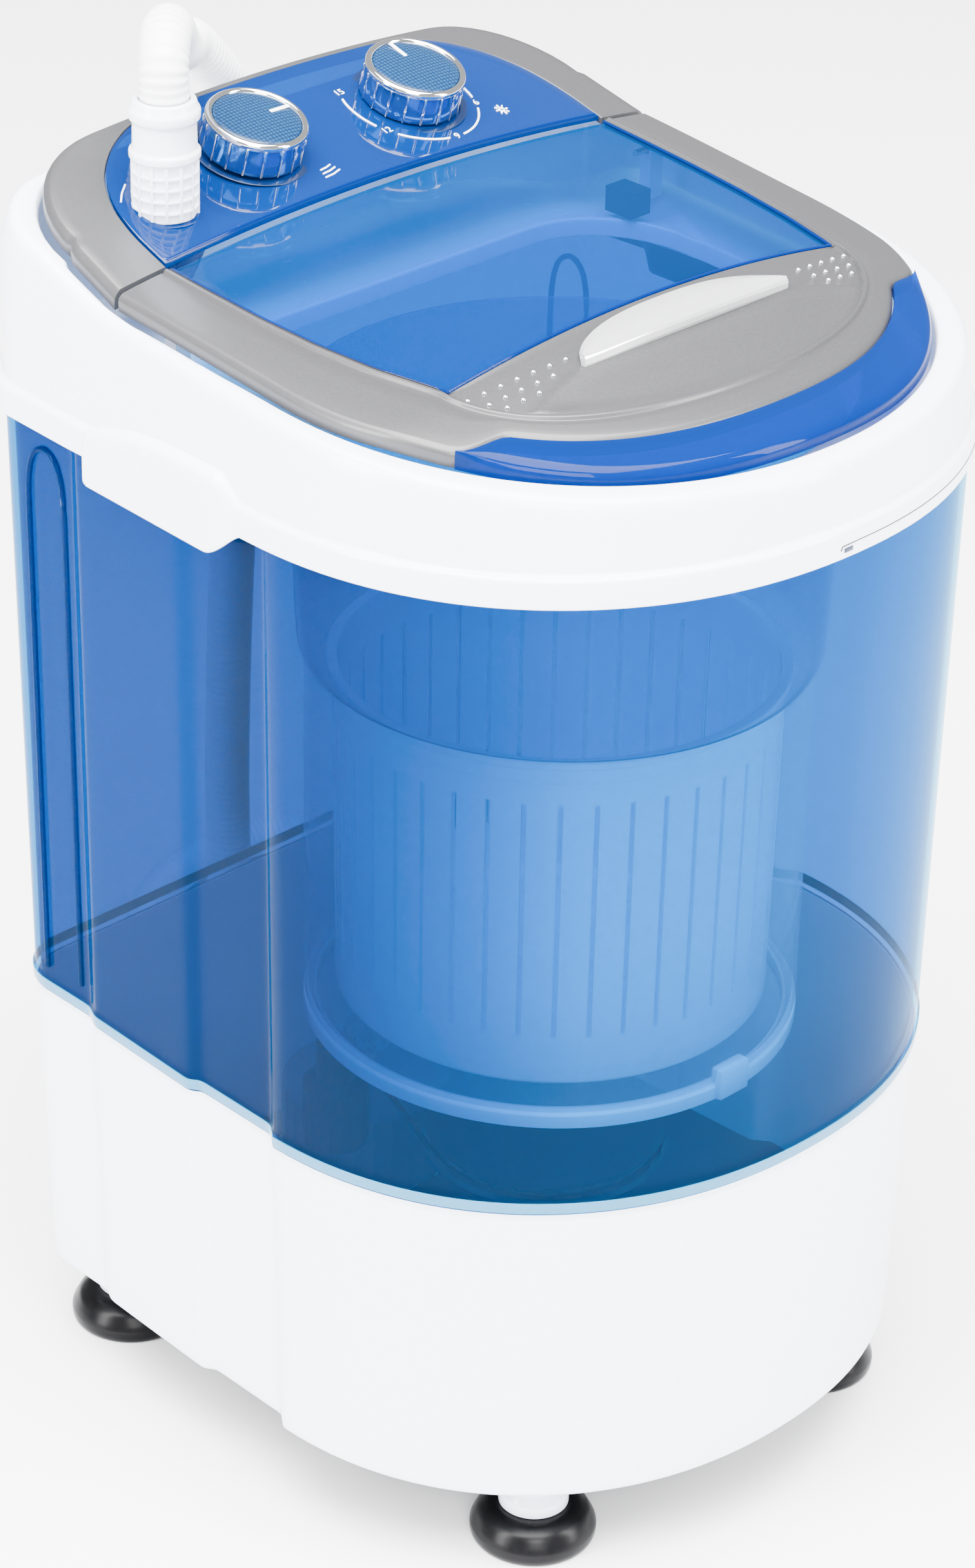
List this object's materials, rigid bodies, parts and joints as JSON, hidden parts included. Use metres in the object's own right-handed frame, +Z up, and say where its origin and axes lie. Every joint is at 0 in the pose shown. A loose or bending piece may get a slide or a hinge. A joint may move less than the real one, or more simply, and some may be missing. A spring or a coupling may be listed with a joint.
{
  "type": "top load washing machine",
  "caption": "Compact top load washing machine with a clear shell, stepped base, crowned windowed lid, two dials on a sloping deck, spin basket, belt drive and a coiled inlet hose.",
  "frame": {"origin": "middle of the machine's own footprint, on the floor under the four feet, the inlet hose left out", "axes": "+Z up, -Y towards the user at the front, +X to the user's right"},
  "size_m": [0.4915, 0.6202, 0.6439],
  "materials": {
    "white_plastic": "smooth gloss moulded plastic",
    "silver_paint": "fine metallic silver paint on moulded plastic",
    "clear_blue": "clear tinted blue moulded plastic",
    "pale_blue": "translucent pale blue moulded plastic",
    "chrome": "bright plated plastic",
    "black_rubber": "moulded rubber",
    "steel": "turned or pressed steel",
    "dark_grey": "dark moulded plastic or painted metal"
  },
  "bodies": {
    "housing": {"base_housing": "white_plastic", "bearing_housing": "dark_grey", "body_shell": "clear_blue", "bottom_plate": "dark_grey", "capacitor": "steel", "control_panel": "clear_blue", "cord_gland": "black_rubber", "deck_frame": "silver_paint", "drain_spigot": "white_plastic", "drain_valve": "white_plastic", "drive_belt": "black_rubber", "foot_pad_front_left": "black_rubber", "foot_pad_front_right": "black_rubber", "foot_pad_rear_left": "black_rubber", "foot_pad_rear_right": "black_rubber", "foot_stem_front_left": "white_plastic", "foot_stem_front_right": "white_plastic", "foot_stem_rear_left": "white_plastic", "foot_stem_rear_right": "white_plastic", "hinge_bracket_left": "white_plastic", "hinge_bracket_right": "white_plastic", "hose_adapter": "white_plastic", "hose_connector": "white_plastic", "inlet_hose": "white_plastic", "inlet_hose_coil": "white_plastic", "inlet_hose_end": "white_plastic", "inlet_port": "clear_blue", "lid_switch": "dark_grey", "lower_bearing": "steel", "mode_switch": "dark_grey", "motor": "dark_grey", "motor_mount": "steel", "shaft_seal": "dark_grey", "splash_ring": "clear_blue", "top_collar": "white_plastic", "upper_bearing": "steel", "wash_timer": "dark_grey", "wash_tub": "pale_blue"},
    "lid": {"lid_frame": "silver_paint", "lid_window": "clear_blue", "lid_handle": "chrome", "lid_front_lens": "clear_blue", "hinge_pin_left": "steel", "hinge_pin_right": "steel"},
    "timer_dial": {"timer_knob": "chrome", "timer_knob_insert": "clear_blue", "timer_shaft": "steel"},
    "selector_dial": {"selector_knob": "chrome", "selector_knob_insert": "clear_blue", "selector_shaft": "steel"},
    "basket": {"spin_basket": "pale_blue"},
    "drive": {"pulsator": "white_plastic", "drive_shaft": "steel", "drive_pulley": "white_plastic"},
    "rotor": {"motor_shaft": "steel", "motor_pulley": "steel"}
  },
  "joints": [
    {"name": "lid_hinge", "type": "hinge", "parent": "housing", "child": "lid", "pos_m": [0, 0.067, 0.5415], "axis": [-1, 0, 0], "range_deg": [0, 95]},
    {"name": "timer_turn", "type": "hinge", "parent": "housing", "child": "timer_dial", "pos_m": [0.0465, 0.1263, 0.57049], "axis": [0, -0.2857, 0.9583], "range_deg": [-270, 0]},
    {"name": "selector_turn", "type": "hinge", "parent": "housing", "child": "selector_dial", "pos_m": [-0.0465, 0.1263, 0.57049], "axis": [0, -0.2857, 0.9583], "range_deg": [-90, 90]},
    {"name": "basket_spin", "type": "hinge", "parent": "housing", "child": "basket", "pos_m": [0, -0.0195, 0.212], "axis": [0, 0, 1], "continuous": true},
    {"name": "drive_spin", "type": "hinge", "parent": "housing", "child": "drive", "pos_m": [0, -0.0195, 0.127], "axis": [0, 0, 1], "continuous": true},
    {"name": "rotor_spin", "type": "hinge", "parent": "housing", "child": "rotor", "pos_m": [0, 0.098, 0.127], "axis": [0, 0, 1], "continuous": true}
  ],
  "couplings": [
    {"joint": "rotor_spin", "follows": "drive_spin", "ratio": 5}
  ]
}
